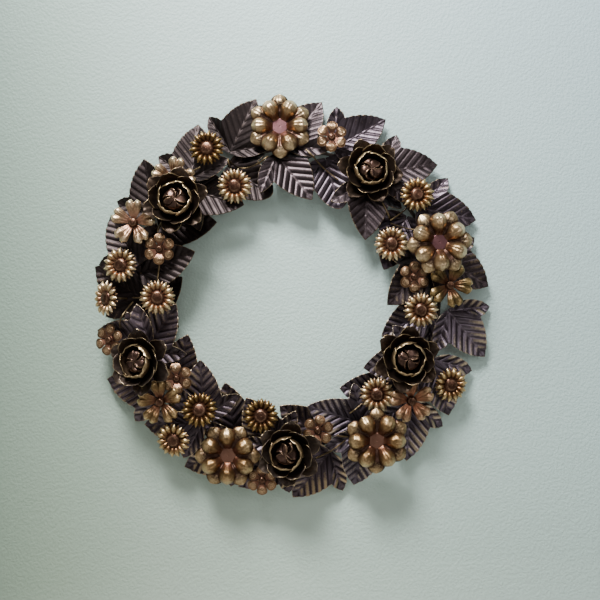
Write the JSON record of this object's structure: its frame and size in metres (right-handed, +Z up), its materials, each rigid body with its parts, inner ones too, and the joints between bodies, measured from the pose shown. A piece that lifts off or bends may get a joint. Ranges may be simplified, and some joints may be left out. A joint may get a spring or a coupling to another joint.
{
  "type": "metal floral wall wreath",
  "caption": "Round wall wreath of pressed metal: leaf sprays welded to a hidden hoop, set with roses, blossoms, daisies and small flowers.",
  "frame": {"origin": "centre of the hanging hole on the wall plane", "axes": "+Z up, +Y into the wall, -Y towards the room, +X to the viewer's right"},
  "size_m": [0.5592, 0.0804, 0.5649],
  "materials": {
    "hoop": "satin dark bronze",
    "leaves": "satin gunmetal with gold rubbed on the ribs",
    "roses": "antique gold rims, dark brown cups",
    "blossoms": "champagne gold with copper roots",
    "notched_flowers": "gold and copper, satin",
    "ringed_flowers": "gold and copper, satin",
    "daisies": "antique gold with copper bosses",
    "stems": "dull gold wire"
  },
  "bodies": {
    "root": {"blossom_1_front_petals": "blossoms", "blossom_1_rear_petals": "blossoms", "blossom_2_front_petals": "blossoms", "blossom_2_rear_petals": "blossoms", "blossom_3_front_petals": "blossoms", "blossom_3_rear_petals": "blossoms", "blossom_4_front_petals": "blossoms", "blossom_4_rear_petals": "blossoms", "daisies_left": "daisies", "daisies_low_left": "daisies", "daisies_low_right": "daisies", "daisies_right": "daisies", "daisies_top": "daisies", "flower_stems": "stems", "hanger_tab": "hoop", "hoop": "hoop", "leaf_pair_01": "leaves", "leaf_pair_02": "leaves", "leaf_pair_03": "leaves", "leaf_pair_04": "leaves", "leaf_pair_05": "leaves", "leaf_pair_06": "leaves", "leaf_pair_07": "leaves", "leaf_pair_08": "leaves", "leaf_pair_09": "leaves", "leaf_pair_10": "leaves", "leaf_pair_11": "leaves", "leaf_pair_12": "leaves", "leaf_pair_13": "leaves", "leaf_pair_14": "leaves", "leaf_pair_15": "leaves", "leaf_pair_16": "leaves", "leaf_pair_17": "leaves", "leaf_pair_18": "leaves", "leaf_pair_19": "leaves", "leaf_pair_20": "leaves", "leaf_stems": "stems", "notched_flower_2": "notched_flowers", "notched_flower_3": "notched_flowers", "notched_flower_4": "notched_flowers", "notched_flowers_1": "notched_flowers", "ringed_flowers_bottom": "ringed_flowers", "ringed_flowers_left": "ringed_flowers", "ringed_flowers_right": "ringed_flowers", "rose_1_bud": "roses", "rose_1_inner_petals": "roses", "rose_1_outer_petals": "roses", "rose_2_bud": "roses", "rose_2_inner_petals": "roses", "rose_2_outer_petals": "roses", "rose_3_bud": "roses", "rose_3_inner_petals": "roses", "rose_3_outer_petals": "roses", "rose_4_bud": "roses", "rose_4_inner_petals": "roses", "rose_4_outer_petals": "roses", "rose_5_bud": "roses", "rose_5_inner_petals": "roses", "rose_5_outer_petals": "roses"}
  },
  "joints": []
}
